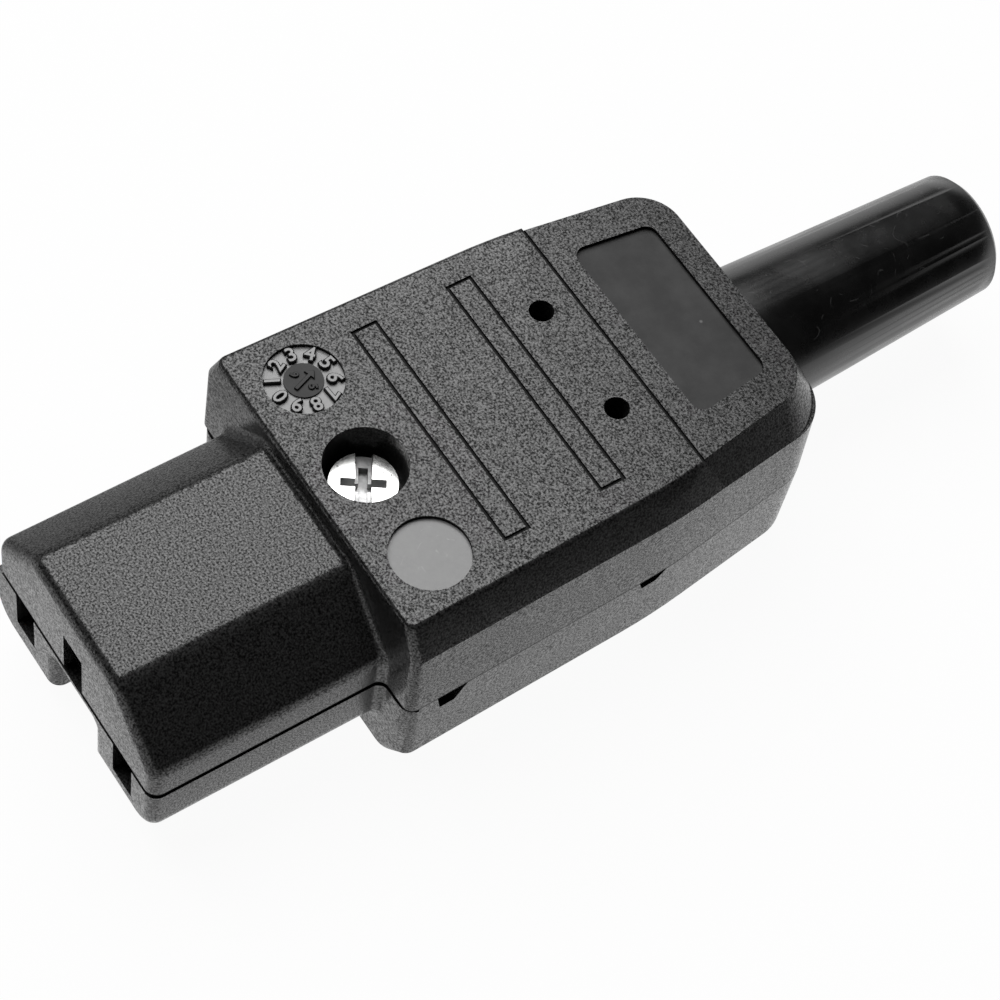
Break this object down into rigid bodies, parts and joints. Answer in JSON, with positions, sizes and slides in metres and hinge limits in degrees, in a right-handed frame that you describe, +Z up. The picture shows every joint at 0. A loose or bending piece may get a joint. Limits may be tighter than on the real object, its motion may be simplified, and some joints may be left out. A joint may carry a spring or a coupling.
{
  "type": "rewireable appliance cable connector",
  "caption": "Straight rewireable mains cable connector: split moulded housing with a keyed, slotted nose, screwed shut, and a tapered rubber bend sleeve for the cord.",
  "frame": {"origin": "centre of the bounding box's base, on the flat underside's plane", "axes": "+Y from the mating face to the cable end, +Z up through the screw recess, +X towards the line contact's side"},
  "size_m": [0.0292, 0.082, 0.019],
  "materials": {
    "shell_plastic": "fine spark-eroded dark grey moulded thermoset",
    "sleeve_rubber": "smooth glossy black",
    "plated_steel": "bright plated steel",
    "contact_brass": "plain brass",
    "spring_steel": "plain spring steel",
    "clamp_plastic": "plain dark moulded plastic"
  },
  "bodies": {
    "root": {"upper_shell": "shell_plastic", "lower_shell": "shell_plastic", "bend_sleeve": "sleeve_rubber", "housing_screw": "plated_steel", "housing_nut": "plated_steel", "cord_clamp": "clamp_plastic", "line_contact": "contact_brass", "neutral_contact": "contact_brass", "earth_contact": "contact_brass", "line_contact_spring": "spring_steel", "neutral_contact_spring": "spring_steel", "earth_contact_spring": "spring_steel", "line_terminal_clamp": "contact_brass", "neutral_terminal_clamp": "contact_brass", "earth_terminal_clamp": "contact_brass", "line_terminal_screw": "plated_steel", "neutral_terminal_screw": "plated_steel", "earth_terminal_screw": "plated_steel", "cord_clamp_screw_left": "plated_steel", "cord_clamp_screw_right": "plated_steel"}
  },
  "joints": []
}
